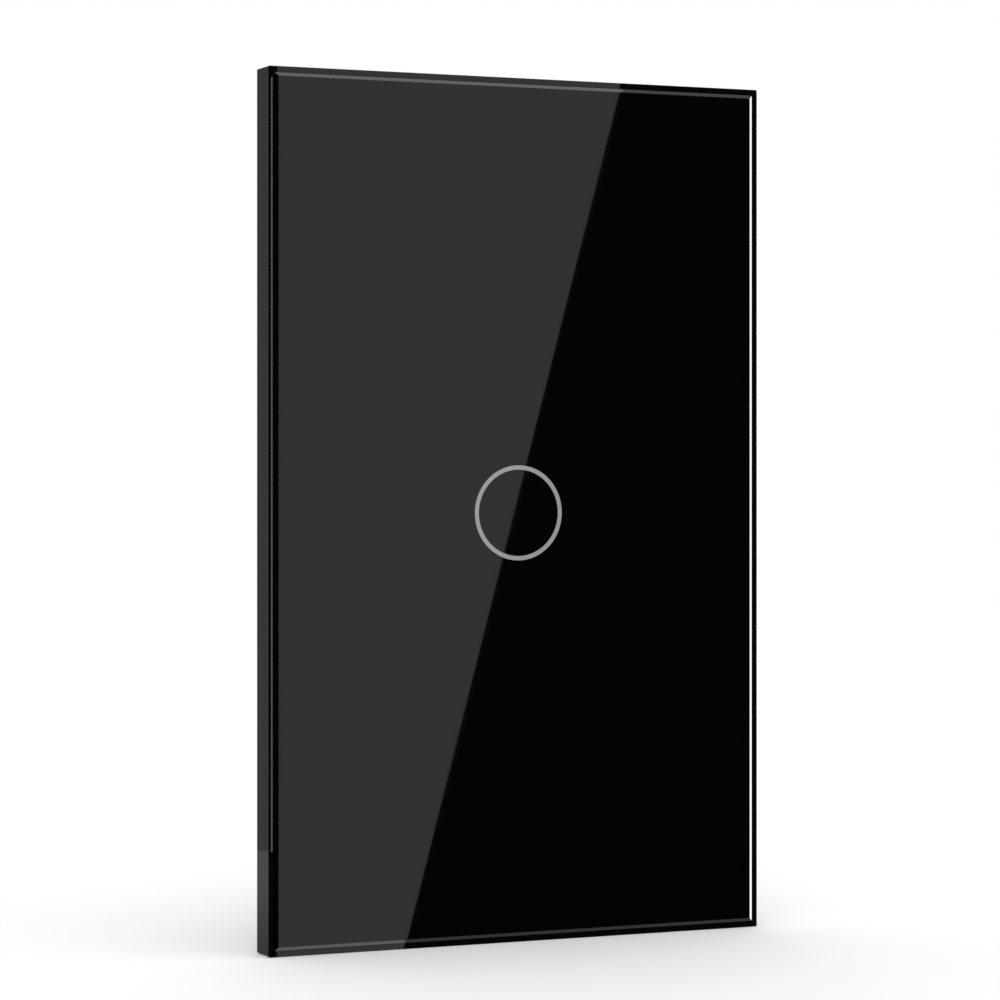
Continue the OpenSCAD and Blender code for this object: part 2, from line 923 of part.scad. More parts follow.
module terminal_block() {
    color([0.20, 0.42, 0.30])
        difference() {
            union() {
                box([-block_w / 2, block_y, block_low_z], [block_w / 2, block_back_y, block_top_z]);
                box([-block_w / 2, power_board_back_y, foot_z], [block_w / 2, block_y, foot_z + foot_len]);
            }
            for (x = pole_xs)
                translate([x, 0, 0])
                    pole_cuts();
        }
}

// Chamber, mouth, screw hole and bar slot of one terminal
module pole_cuts() {
    box([-pocket_w / 2, pocket_y, pocket_low_z], [pocket_w / 2, pocket_back_y, pocket_top_z]);
    box([-wire_gap / 2, wire_y, block_low_z - past], [wire_gap / 2, bar_y, pocket_low_z + past]);
    translate([0, 0, screw_z]) {
        rod(screw_r + 3 * screw_gap, pocket_back_y - past, seat_y + past);
        rod(head_r + head_gap, seat_y, block_back_y + past);
    }
    box([-bar_w / 2, bar_y, pocket_top_z - past], [bar_w / 2, bar_y + bar_t, block_top_z + past]);
}

module terminal_contacts() {
    color(brass)
        for (x = pole_xs)
            translate([x, 0, 0]) {
                box([-bar_w / 2, bar_y, pocket_low_z], [bar_w / 2, bar_y + bar_t, tail_z + bar_t]);
                box([-bar_w / 2, power_board_back_y, tail_z], [bar_w / 2, bar_y + bar_t, tail_z + bar_t]);
            }
}

// Wire clamp of one terminal, open along Z and drilled for its screw
module terminal_clamp(x) {
    z0 = screw_z - clamp_len / 2;
    z1 = screw_z + clamp_len / 2;
    color(steel)
        translate([x, 0, 0])
            difference() {
                box([-clamp_w / 2, clamp_y, z0], [clamp_w / 2, nut_y + clamp_nut_t, z1]);
                box([-wire_gap / 2, wire_y, z0 - past], [wire_gap / 2, nut_y, z1 + past]);
                translate([0, 0, screw_z])
                    rod(screw_r + screw_gap, nut_y - past, nut_y + clamp_nut_t + past);
            }
}

module terminal_clamp_1() { terminal_clamp(pole_xs[0]); }
module terminal_clamp_2() { terminal_clamp(pole_xs[1]); }
module terminal_clamp_3() { terminal_clamp(pole_xs[2]); }

// Slotted screw of one terminal
module terminal_screw(x) {
    color(steel)
        translate([x, 0, screw_z])
            difference() {
                union() {
                    rod(screw_r, screw_tip_y, seat_y + head_gap + head_t / 2);
                    rod(head_r, seat_y + head_gap, seat_y + head_gap + head_t);
                }
                box([-head_r - past, seat_y + head_gap + head_t - drive_depth, -drive_w / 2],
                    [head_r + past, block_back_y + past, drive_w / 2]);
            }
}

module terminal_screw_1() { terminal_screw(pole_xs[0]); }
module terminal_screw_2() { terminal_screw(pole_xs[1]); }
module terminal_screw_3() { terminal_screw(pole_xs[2]); }

glass_panel();
touch_ring();
glass_backing();
panel_tape();
panel_frame();
light_diffuser();
mounting_strap();
rear_housing();
front_cover();
strap_screws();
touch_board();
touch_spring();
led_shroud();
indicator_leds();
touch_chip();
board_screws();
board_socket();
board_header();
header_pins();
power_board();
power_screws();
transformer_core();
transformer_winding();
bulk_capacitor();
film_capacitor();
surge_varistor();
fuse();
bridge_rectifier();
relay_base();
relay_case();
relay_coil();
relay_yoke();
relay_contacts();
relay_armature();
terminal_block();
terminal_contacts();
terminal_clamp_1();
terminal_clamp_2();
terminal_clamp_3();
terminal_screw_1();
terminal_screw_2();
terminal_screw_3();
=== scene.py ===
import math

import bmesh
import bpy
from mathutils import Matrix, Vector


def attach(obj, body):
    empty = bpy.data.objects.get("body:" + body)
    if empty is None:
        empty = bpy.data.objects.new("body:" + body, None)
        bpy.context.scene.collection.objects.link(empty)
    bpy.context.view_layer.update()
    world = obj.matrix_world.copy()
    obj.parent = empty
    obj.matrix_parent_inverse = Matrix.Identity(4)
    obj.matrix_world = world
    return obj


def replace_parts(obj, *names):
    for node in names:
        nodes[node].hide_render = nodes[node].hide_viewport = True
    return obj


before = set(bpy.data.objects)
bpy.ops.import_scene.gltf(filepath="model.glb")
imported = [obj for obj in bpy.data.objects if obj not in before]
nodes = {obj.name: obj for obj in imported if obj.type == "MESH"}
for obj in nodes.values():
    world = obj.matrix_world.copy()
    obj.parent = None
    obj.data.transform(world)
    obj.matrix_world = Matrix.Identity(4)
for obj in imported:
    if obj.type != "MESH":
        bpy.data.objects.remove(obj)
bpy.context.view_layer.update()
scene = bpy.context.scene
scene.view_settings.view_transform = "Standard"
mm = 0.001
print("frame loaded:", len(nodes), "nodes")


# sRGB hex to the linear colour that shaders expect
def linear(hexColour):
    parts = [int(hexColour[i:i + 2], 16) / 255 for i in (1, 3, 5)]
    return tuple(c / 12.92 if c <= 0.04045 else ((c + 0.055) / 1.055) ** 2.4 for c in parts) + (1.0,)


# adds one node, sets its properties or sockets, and links its inputs
def addNode(tree, kind, settings=None, links=None):
    node = tree.nodes.new(kind)
    for key, value in (settings or {}).items():
        if isinstance(key, str) and hasattr(node, key):
            setattr(node, key, value)
        else:
            node.inputs[key].default_value = value
    for socket, source in (links or {}).items():
        tree.links.new(source, node.inputs[socket])
    return node


# pattern scale from the real size of one repeat, in mm
def repeatOf(sizeMm):
    return 1000 / sizeMm


# the same for a wave texture, whose bands repeat every 2 pi / 20 at a scale of 1
def bandsOf(sizeMm):
    return repeatOf(sizeMm) * 2 * math.pi / 20


# empty material with a principled shader, its constant sockets and object coordinates
def startMaterial(name, sockets):
    material = bpy.data.materials.new(name)
    material.use_nodes = True
    tree = material.node_tree
    shader = tree.nodes["Principled BSDF"]
    for socket, value in sockets.items():
        shader.inputs[socket].default_value = value
    place = addNode(tree, "ShaderNodeTexCoord").outputs["Object"]
    return material, tree, shader, place


# colour between two, each a hex or a socket, by a factor socket
def mixColour(tree, factor, first, second):
    mix = addNode(tree, "ShaderNodeMix", {"data_type": "RGBA"}, {0: factor})
    for index, colour in ((6, first), (7, second)):  # the node's two colour inputs
        if isinstance(colour, str):
            mix.inputs[index].default_value = linear(colour)
        else:
            tree.links.new(colour, mix.inputs[index])
    return mix.outputs[2]


# how far a face looks along Y, from -1 to 1
def facingY(tree):
    normal = addNode(tree, "ShaderNodeTexCoord").outputs["Normal"]
    return addNode(tree, "ShaderNodeSeparateXYZ", {}, {0: normal}).outputs["Y"]


noiseMiddle = {"From Min": 0.3, "From Max": 0.7}  # nearly all of a noise texture's values


# links a colour that wanders between two tones, a roughness that wanders and a grain bump; gives back all three
def weather(tree, shader, place, tones, patchMm, rough, grainMm, grainHeightMm):
    patch = addNode(tree, "ShaderNodeTexNoise", {"Scale": repeatOf(patchMm), "Detail": 4.0}, {"Vector": place})
    spread = addNode(tree, "ShaderNodeMapRange", {**noiseMiddle, "To Min": rough[0], "To Max": rough[1]},
                     {"Value": patch.outputs["Fac"]})
    grain = addNode(tree, "ShaderNodeTexNoise", {"Scale": repeatOf(grainMm), "Detail": 3.0}, {"Vector": place})
    bump = addNode(tree, "ShaderNodeBump", {"Strength": 1.0, "Distance": grainHeightMm * mm},
                   {"Height": grain.outputs["Fac"]})
    skin = {"Base Color": mixColour(tree, patch.outputs["Fac"], *tones), "Roughness": spread.outputs["Result"],
            "Normal": bump.outputs["Normal"]}
    for socket, source in skin.items():
        tree.links.new(source, shader.inputs[socket])
    return skin


# material that weathers and has nothing more to it
def plainMaterial(name, sockets, **looks):
    material, tree, shader, place = startMaterial(name, sockets)
    weather(tree, shader, place, **looks)
    return material


# camera, from the plate's four corners in the photograph
cameraSetup = {"place": (-183.521, -415.873, 7.186), "yaw": 23.686, "lens": 118.65, "shiftUp": -0.04273,
               "sensor": 36, "clipStart": 10}
cameraData = bpy.data.cameras.new("camera")
cameraData.sensor_width = cameraSetup["sensor"]
cameraData.lens = cameraSetup["lens"]
cameraData.shift_y = cameraSetup["shiftUp"]
cameraData.clip_start = cameraSetup["clipStart"] * mm
camera = bpy.data.objects.new("camera", cameraData)
camera.location = Vector(cameraSetup["place"]) * mm
camera.rotation_euler = (math.pi / 2, 0, -math.radians(cameraSetup["yaw"]))
scene.collection.objects.link(camera)
scene.camera = camera
print("camera placed")


# flat or solid mesh object from points in mm
def meshPiece(name, pointsMm, faces):
    mesh = bpy.data.meshes.new(name)
    mesh.from_pydata([Vector(p) * mm for p in pointsMm], [], faces)
    mesh.update()
    piece = bpy.data.objects.new(name, mesh)
    scene.collection.objects.link(piece)
    return piece


# studio: a white floor, soft lamps, and cards that only reflections see; fades in m from the middle
studio = {"floorZ": -59.02, "floorReach": 3000, "floorSplitX": 40, "floorSplitY": -2.0, "floorWhite": "#FFFFFF",
          "fadeFrom": 0.30, "fadeTo": 0.95, "fill": 0.82}


# rays that show the background: the camera's, and those off metal and through glass
def backgroundRays(tree):
    path = addNode(tree, "ShaderNodeLightPath")
    shown = addNode(tree, "ShaderNodeMath", {"operation": "MAXIMUM"},
                    {0: path.outputs["Is Camera Ray"], 1: path.outputs["Is Glossy Ray"]})
    shown = addNode(tree, "ShaderNodeMath", {"operation": "MAXIMUM"},
                    {0: shown.outputs[0], 1: path.outputs["Is Transmission Ray"]})
    return shown.outputs[0]


# white paper with soft shadows, pure white to the eye far away
def floorMaterial():
    material, tree, shader, place = startMaterial("studio_paper", {"Roughness": 0.9, "Specular IOR Level": 0.0,
                                                                   "Base Color": linear(studio["floorWhite"])})
    away = addNode(tree, "ShaderNodeVectorMath", {"operation": "LENGTH"}, {0: place})
    far = addNode(tree, "ShaderNodeMapRange", {"interpolation_type": "SMOOTHSTEP", "From Min": studio["fadeFrom"],
                                               "From Max": studio["fadeTo"]}, {"Value": away.outputs["Value"]})
    seen = addNode(tree, "ShaderNodeMath", {"operation": "MULTIPLY"},
                   {0: far.outputs["Result"], 1: backgroundRays(tree)})
    white = addNode(tree, "ShaderNodeEmission", {"Strength": 1.0})
    mix = addNode(tree, "ShaderNodeMixShader", {}, {0: seen.outputs[0], 1: shader.outputs[0], 2: white.outputs[0]})
    tree.links.new(mix.outputs[0], tree.nodes["Material Output"].inputs["Surface"])
    return material


paper = floorMaterial()
reach, splitX, splitY = studio["floorReach"], studio["floorSplitX"], studio["floorSplitY"]
floorZ = studio["floorZ"]
# name, low x, high x, low y, high y, and whether reflections see it
floorParts = [("floor_front", -reach, reach, -reach, splitY, False),
              ("floor_back", -reach, splitX, splitY, reach, True),
              ("floor_right", splitX, reach, splitY, reach, False)]
for floorName, lowX, highX, lowY, highY, mirrored in floorParts:
    floor = meshPiece(floorName, [(lowX, lowY, floorZ), (highX, lowY, floorZ), (highX, highY, floorZ),
                                  (lowX, highY, floorZ)], [(0, 1, 2, 3)])
    floor.data.materials.append(paper)
    floor.visible_glossy = mirrored

# cards: corners in mm and the light each one gives; flags are the darker ones
cards = {
    "glare_card": {"corners": [(71.2, -300, -180), (82, -300, -180), (178.1, -300, 170), (71.2, -300, 170)],
                   "light": 0.70},
    "front_flag": {"corners": [(-300, -310, -320), (660, -310, -320), (660, -310, 320), (-300, -310, 320)],
                   "light": 0.0, "soft": {"X": (-300, 660), "Z": (-320, 320)}, "softReach": 110},
    "left_flag": {"corners": [(-300, -420, -200), (-300, -90, -200), (-300, -90, 190), (-300, -420, 190)],
                  "light": 0.0, "soft": {"Y": (-420, -90), "Z": (-200, 190)}, "softReach": 70},
    "rim_strip": {"corners": [(69.42, -299, -82.4), (69.70, -299, -82.4), (69.70, -299, 93.5),
                              (69.42, -299, 93.5)], "light": 2.3},
    "edge_light": {"corners": [(400, 6, -114), (400, 40, -114), (400, 40, 104), (400, 6, 104)],
                   "light": 9.9},
    "top_card": {"corners": [(-100, -250, 458), (216, -250, 458), (216, 0, 458), (-100, 0, 458)],
                 "light": 2.3},
    "low_card": {"corners": [(-60, -140, -259), (66, -140, -259), (66, 0, -259), (-60, 0, -259)],
                 "light": 1.85},
    "low_flag": {"corners": [(66, -140, -259), (240, -140, -259), (240, 0, -259), (66, 0, -259)],
                 "light": 0.56},
    "side_card": {"corners": [(-150.5, 81.3, -59), (-0.7, 134.5, -59), (-0.7, 134.5, 130),
                              (-150.5, 81.3, 130)], "light": 0.2},
    # side_floor: the floor beside the plate as reflections see it, a glowing stand-in card with the plate's contact
    # shadow painted in as dimmer light toward its foot
    "side_floor": {"corners": [(-160, -9, -58.95), (-36.6, -9, -58.95), (-36.6, 1, -58.95), (-0.7, 134, -58.95),
                               (-150, 81, -58.95)],
                   "light": 0.345, "foot": 0.2, "footReach": 0.06},
}


# cover of a card that fades out toward its edges
def softCover(tree, place, card):
    spot = addNode(tree, "ShaderNodeSeparateXYZ", {}, {0: place})
    cover = None
    for axis, ends in card["soft"].items():
        for edge, inward in ((ends[0], 1), (ends[1], -1)):
            inner = edge + inward * card["softReach"]
            fade = addNode(tree, "ShaderNodeMapRange", {"interpolation_type": "SMOOTHSTEP", "From Min": edge * mm,
                                                        "From Max": inner * mm}, {"Value": spot.outputs[axis]})
            fade = fade.outputs["Result"]
            if cover is not None:
                fade = addNode(tree, "ShaderNodeMath", {"operation": "MULTIPLY"}, {0: fade, 1: cover}).outputs[0]
            cover = fade
    return cover


for cardName, card in cards.items():
    board = meshPiece(cardName, card["corners"], [range(len(card["corners"]))])
    material, tree, shader, place = startMaterial(cardName, {})
    glow = addNode(tree, "ShaderNodeEmission", {"Strength": card["light"]})
    # painted shadow: the card's light drops from its plain level to a dimmer one near the plate's foot, where the plate
    # would shade the floor
    if "foot" in card:  # dimmer near the foot of the plate, over a reach in m
        spot = addNode(tree, "ShaderNodeSeparateXYZ", {}, {0: place})
        ramp = addNode(tree, "ShaderNodeMapRange", {"From Max": card["footReach"], "To Min": card["foot"],
                                                    "To Max": card["light"]}, {"Value": spot.outputs["Y"]})
        tree.links.new(ramp.outputs["Result"], glow.inputs["Strength"])
    surface = glow
    if "soft" in card:
        clear = addNode(tree, "ShaderNodeBsdfTransparent")
        surface = addNode(tree, "ShaderNodeMixShader", {},
                          {0: softCover(tree, place, card), 1: clear.outputs[0], 2: glow.outputs[0]})
    tree.links.new(surface.outputs[0], tree.nodes["Material Output"].inputs["Surface"])
    material.cycles.emission_sampling = "NONE"
    board.data.materials.append(material)
    for ray in ("camera", "diffuse", "transmission", "volume_scatter", "shadow"):
        setattr(board, "visible_" + ray, False)

world = bpy.data.worlds.new("studio")
scene.world = world
world.use_nodes = True
sky = world.node_tree
level = addNode(sky, "ShaderNodeMapRange", {"To Min": studio["fill"], "To Max": 1.0}, {"Value": backgroundRays(sky)})
sky.nodes["Background"].inputs["Color"].default_value = (1, 1, 1, 1)
sky.links.new(level.outputs["Result"], sky.nodes["Background"].inputs["Strength"])

# lamps: soft boxes that light without showing in reflections, places and sizes in m
lamps = {
    "top_lamp": {"place": (0.15, -0.25, 1.1), "size": 1.2, "power": 2.6},
    "front_lamp": {"place": (-0.7, -1.3, 0.5), "size": 1.0, "power": 5.5},
    "rear_lamp": {"place": (0.6, 1.4, 0.6), "size": 1.0, "power": 3.6},
}
for lampName, lamp in lamps.items():
    lampData = bpy.data.lights.new(lampName, "AREA")
    lampData.size = lamp["size"]
    lampData.energy = lamp["power"]
    lampObject = bpy.data.objects.new(lampName, lampData)
    lampObject.location = lamp["place"]
    lampObject.rotation_euler = (-Vector(lamp["place"])).to_track_quat("-Z", "Y").to_euler()
    lampObject.visible_glossy = False
    lampObject.visible_camera = False
    scene.collection.objects.link(lampObject)
print("studio lit")

# float glass, polished and coated black behind: a deep, even mirror with a trace of haze
blackGlass = plainMaterial("float_glass_black_backed", {"IOR": 1.52},
                           tones=("#030304", "#050506"), patchMm=20, rough=(0.01, 0.02),
                           grainMm=6, grainHeightMm=0.0002)

# fired enamel under the same polish: a pale, flat grey line with fine pigment grain
ringEnamel = plainMaterial("fired_enamel_grey", {"IOR": 1.52},
                           tones=("#8B8B89", "#959492"), patchMm=0.5, rough=(0.02, 0.04),
                           grainMm=0.2, grainHeightMm=0.0002)

# ABS moulded in a polished tool: near-black, clear reflections with a slight orange peel
glossBlack, tree, shader, place = startMaterial("abs_gloss_black", {"IOR": 1.54})
skin = weather(tree, shader, place, tones=("#050506", "#080809"), patchMm=12, rough=(0.004, 0.01), grainMm=0.8,
               grainHeightMm=0.00003)
# the hidden back of the moulding keeps the tool's dull spark finish
sparkFinish = {"tone": "#17171A", "rough": 0.46, "pitMm": 0.3, "pitHeightMm": 0.012, "strength": 0.6}
rearward = addNode(tree, "ShaderNodeMath", {"operation": "GREATER_THAN", 1: 0.5}, {0: facingY(tree)}).outputs[0]
dull = addNode(tree, "ShaderNodeMix", {"data_type": "FLOAT", 3: sparkFinish["rough"]},
               {0: rearward, 2: skin["Roughness"]})
tree.links.new(dull.outputs[0], shader.inputs["Roughness"])
pits = addNode(tree, "ShaderNodeTexNoise", {"Scale": repeatOf(sparkFinish["pitMm"]), "Detail": 2.0}, {"Vector": place})
pits = addNode(tree, "ShaderNodeMath", {"operation": "MULTIPLY"}, {0: pits.outputs["Fac"], 1: rearward})
pitted = addNode(tree, "ShaderNodeBump",
                 {"Strength": sparkFinish["strength"], "Distance": sparkFinish["pitHeightMm"] * mm},
                 {"Height": pits.outputs[0], "Normal": skin["Normal"]})
tree.links.new(pitted.outputs["Normal"], shader.inputs["Normal"])
rearTone = mixColour(tree, rearward, skin["Base Color"], sparkFinish["tone"])
tree.links.new(rearTone, shader.inputs["Base Color"])

# screen ink on the back of the glass: dead black with faint mesh marks
inkBlack = plainMaterial("screen_ink_black", {"IOR": 1.5},
                         tones=("#0A0A0A", "#101010"), patchMm=3, rough=(0.45, 0.6),
                         grainMm=0.25, grainHeightMm=0.004)

# acrylic foam tape: dull charcoal with open pores
foamBlack = plainMaterial("acrylic_foam_tape", {"IOR": 1.45},
                          tones=("#141414", "#1E1E1E"), patchMm=2, rough=(0.8, 0.95),
                          grainMm=0.3, grainHeightMm=0.03)

# frosted polycarbonate: milky, with light under its skin
milkDepth = (0.8 * mm, 0.8 * mm, 0.7 * mm)  # how far red, green and blue light spread
frosted = plainMaterial("polycarbonate_frosted",
                        {"IOR": 1.58, "Subsurface Weight": 0.3, "Subsurface Radius": milkDepth,
                         "Subsurface Scale": 1.0},
                        tones=("#ECEBE4", "#F3F2EC"), patchMm=2, rough=(0.5, 0.6),
                        grainMm=0.15, grainHeightMm=0.004)

# zinc-plated sheet: pale bluish steel, rolled along Z, with cloudy passivation
zincSteel, tree, shader, place = startMaterial("zinc_plated_steel", {"Metallic": 1.0})
skin = weather(tree, shader, place, tones=("#B4BBC4", "#CBCDCB"), patchMm=16, rough=(0.3, 0.35), grainMm=0.5,
               grainHeightMm=0.0002)
# rolling lines, drawn four times coarser than real ones so that they show
rolling = {"lineMm": 0.4, "stretch": 0.03, "heightMm": 0.001, "strength": 0.5}
along = addNode(tree, "ShaderNodeMapping", {"Scale": (1, 1, rolling["stretch"])}, {"Vector": place})
lines = addNode(tree, "ShaderNodeTexNoise", {"Scale": repeatOf(rolling["lineMm"]), "Detail": 2.0},
                {"Vector": along.outputs[0]})
rolled = addNode(tree, "ShaderNodeBump", {"Strength": rolling["strength"], "Distance": rolling["heightMm"] * mm},
                 {"Height": lines.outputs["Fac"], "Normal": skin["Normal"]})
tree.links.new(rolled.outputs["Normal"], shader.inputs["Normal"])

# PA66 moulded in a spark-eroded tool: light grey, dry, with an even grain, drawn at twice its real size to show
housingGrey = plainMaterial("nylon_light_grey", {"IOR": 1.53},
                            tones=("#C9C9C4", "#D8D8D3"), patchMm=11, rough=(0.46, 0.62),
                            grainMm=0.7, grainHeightMm=0.05)

# ABS moulded in a matt tool: a soft, even white
mattWhite = plainMaterial("abs_matt_white", {"IOR": 1.54},
                          tones=("#E4E4DF", "#EFEFEB"), patchMm=10, rough=(0.4, 0.55),
                          grainMm=0.6, grainHeightMm=0.03)

# FR4 under green solder mask: glassy green over a faint weave, straw-coloured at the cut edge
boardGreen, tree, shader, place = startMaterial("fr4_green_mask", {"IOR": 1.55})
skin = weather(tree, shader, place, tones=("#0B4A2C", "#0F5432"), patchMm=1.4, rough=(0.22, 0.34), grainMm=0.5,
               grainHeightMm=0.003)
# glass cloth under the mask, drawn at 1 mm where the real weave is 0.5
weaveMm = 1
warp = addNode(tree, "ShaderNodeTexWave", {"bands_direction": "X", "Scale": bandsOf(weaveMm)}, {"Vector": place})
weft = addNode(tree, "ShaderNodeTexWave", {"bands_direction": "Z", "Scale": bandsOf(weaveMm)}, {"Vector": place})
cloth = addNode(tree, "ShaderNodeMath", {"operation": "MULTIPLY"}, {0: warp.outputs["Fac"], 1: weft.outputs["Fac"]})
mask = mixColour(tree, cloth.outputs[0], skin["Base Color"], "#155F3A")
sideways = addNode(tree, "ShaderNodeMath", {"operation": "ABSOLUTE"}, {0: facingY(tree)})
sideways = addNode(tree, "ShaderNodeMath", {"operation": "LESS_THAN", 1: 0.5}, {0: sideways.outputs[0]})
tree.links.new(mixColour(tree, sideways.outputs[0], mask, "#B9A76A"), shader.inputs["Base Color"])

# brass wire and strip under thin tin and gold: warm yellow metal
platedBrass = plainMaterial("plated_brass", {"Metallic": 1.0},
                            tones=("#C99F55", "#DDBB76"), patchMm=3, rough=(0.2, 0.34),
                            grainMm=0.3, grainHeightMm=0.004)

# clear resin over phosphor: a pale yellow window with a wet gloss
ledResin = plainMaterial("led_phosphor_resin", {"IOR": 1.5},
                         tones=("#E9DC9C", "#F4EDC8"), patchMm=0.8, rough=(0.12, 0.2),
                         grainMm=0.2, grainHeightMm=0.002)

# epoxy moulding compound: charcoal with a fine matt skin
blackResin = plainMaterial("epoxy_moulding_black", {"IOR": 1.55},
                           tones=("#151516", "#1D1D1F"), patchMm=2, rough=(0.5, 0.65),
                           grainMm=0.15, grainHeightMm=0.006)

# sintered ferrite: dark grey ceramic with a granular face
ferrite = plainMaterial("sintered_ferrite", {"IOR": 2.0},
                        tones=("#232325", "#323235"), patchMm=1.5, rough=(0.4, 0.6),
                        grainMm=0.2, grainHeightMm=0.015)

# polyester tape round the winding: yellow and slick
windingTape = plainMaterial("polyester_tape_yellow", {"IOR": 1.6},
                            tones=("#D7AE20", "#E8C445"), patchMm=4, rough=(0.18, 0.3),
                            grainMm=1.1, grainHeightMm=0.02)

# PVC sleeve shrunk on an aluminium can: navy, smooth, with a low sheen
sleeveBlue = plainMaterial("pvc_sleeve_navy", {"IOR": 1.53},
                           tones=("#141B33", "#1B2442"), patchMm=5, rough=(0.25, 0.36),
                           grainMm=0.6, grainHeightMm=0.006)

# PBT box filled with resin: plain warm yellow, half matt
boxYellow = plainMaterial("pbt_box_yellow", {"IOR": 1.57},
                          tones=("#D9A818", "#E4B72C"), patchMm=5, rough=(0.35, 0.46),
                          grainMm=0.3, grainHeightMm=0.008)

# epoxy powder coat, dipped: strong blue with a slightly lumpy skin
dipBlue = plainMaterial("dipped_epoxy_blue", {"IOR": 1.55},
                        tones=("#14459E", "#1C56B8"), patchMm=2, rough=(0.3, 0.42),
                        grainMm=0.7, grainHeightMm=0.03)

# phenolic resin: dark brown, dense, half matt
resinBrown = plainMaterial("phenolic_brown", {"IOR": 1.6},
                           tones=("#3C2418", "#4A2E20"), patchMm=2, rough=(0.4, 0.5),
                           grainMm=0.25, grainHeightMm=0.008)

# PBT relay cover: deep blue with a clean moulded sheen
relayBlue = plainMaterial("pbt_relay_blue", {"IOR": 1.57},
                          tones=("#173A6E", "#1D457E"), patchMm=5, rough=(0.28, 0.4),
                          grainMm=0.35, grainHeightMm=0.006)

# enamelled copper wire, close wound: warm red-brown metal in fine ridges
coilCopper, tree, shader, place = startMaterial("enamelled_copper", {"Metallic": 1.0})
skin = weather(tree, shader, place, tones=("#B5602F", "#CB7A45"), patchMm=1.2, rough=(0.22, 0.34), grainMm=0.25,
               grainHeightMm=0.004)
# turns of wire across the coil, drawn at 0.3 mm where real ones are 0.1
winding = {"turnMm": 0.3, "heightMm": 0.05}
turns = addNode(tree, "ShaderNodeTexWave", {"bands_direction": "Y", "Scale": bandsOf(winding["turnMm"])},
                {"Vector": place})
wound = addNode(tree, "ShaderNodeBump", {"Distance": winding["heightMm"] * mm},
                {"Height": turns.outputs["Fac"], "Normal": skin["Normal"]})
tree.links.new(wound.outputs["Normal"], shader.inputs["Normal"])

# glass-filled nylon, moulded: deep green with a dry grain
terminalGreen, tree, shader, place = startMaterial("glass_filled_nylon_green", {"IOR": 1.54})
skin = weather(tree, shader, place, tones=("#27633F", "#34795A"), patchMm=5, rough=(0.4, 0.56), grainMm=0.5,
               grainHeightMm=0.03)
# glass fibres near the skin: short pale streaks along the flow
fibre = {"streakMm": 0.35, "stretch": 0.16, "shows": (0.58, 0.8), "most": 0.35, "tone": "#6FA488"}
flow = addNode(tree, "ShaderNodeMapping", {"Scale": (fibre["stretch"], 1, 1)}, {"Vector": place})
streaks = addNode(tree, "ShaderNodeTexNoise", {"Scale": repeatOf(fibre["streakMm"]), "Detail": 2.0},
                  {"Vector": flow.outputs[0]})
showing = addNode(tree, "ShaderNodeMapRange",
                  {"From Min": fibre["shows"][0], "From Max": fibre["shows"][1], "To Max": fibre["most"]},
                  {"Value": streaks.outputs["Fac"]})
streaked = mixColour(tree, showing.outputs["Result"], skin["Base Color"], fibre["tone"])
tree.links.new(streaked, shader.inputs["Base Color"])

# metallised polyester label: pale silver, satin, a little cloudy
foilSilver = plainMaterial("polyester_foil_silver", {"Metallic": 0.6},
                           tones=("#CDD0D1", "#DDDEDE"), patchMm=6, rough=(0.34, 0.42),
                           grainMm=0.8, grainHeightMm=0.001)

# printing ink on the label: flat charcoal
labelInk = plainMaterial("label_ink", {"IOR": 1.5},
                         tones=("#1B1D20", "#24272A"), patchMm=2, rough=(0.5, 0.6),
                         grainMm=0.2, grainHeightMm=0.001)

# rolled copper foil: warm, satin, a little tarnished
padCopper = plainMaterial("rolled_copper_foil", {"Metallic": 1.0},
                          tones=("#B06A45", "#C98460"), patchMm=3, rough=(0.28, 0.4),
                          grainMm=0.4, grainHeightMm=0.002)

# tin solder: bright, smooth, a little frosted where it froze last
tinSolder = plainMaterial("tin_solder", {"Metallic": 1.0},
                          tones=("#C3C6C8", "#D8DADA"), patchMm=0.8, rough=(0.14, 0.3),
                          grainMm=0.15, grainHeightMm=0.002)
print("materials made:", len(bpy.data.materials))

edgeStyle = {"segments": 2, "sharpFrom": 40, "shadeFrom": 35, "flatTo": 0.3, "joinMm": 0.0001}  # angles in degrees


# rounds a piece's edges by a width in mm
def addEdge(piece, widthMm):
    bevel = piece.modifiers.new("edge", "BEVEL")
    bevel.width = widthMm * mm
    bevel.segments = edgeStyle["segments"]
    bevel.limit_method = "ANGLE"
    bevel.angle_limit = math.radians(edgeStyle["sharpFrom"])
    bevel.harden_normals = True


# rounds a CAD node: its faces come apart at their edges, so they are joined first
def roundNode(part, widthMm):
    weld = part.modifiers.new("join", "WELD")
    weld.merge_threshold = edgeStyle["joinMm"] * mm
    flat = part.modifiers.new("flat", "DECIMATE")
    flat.decimate_type = "DISSOLVE"
    flat.angle_limit = math.radians(edgeStyle["flatTo"])
    addEdge(part, widthMm)
    part.modifiers["edge"].use_clamp_overlap = False


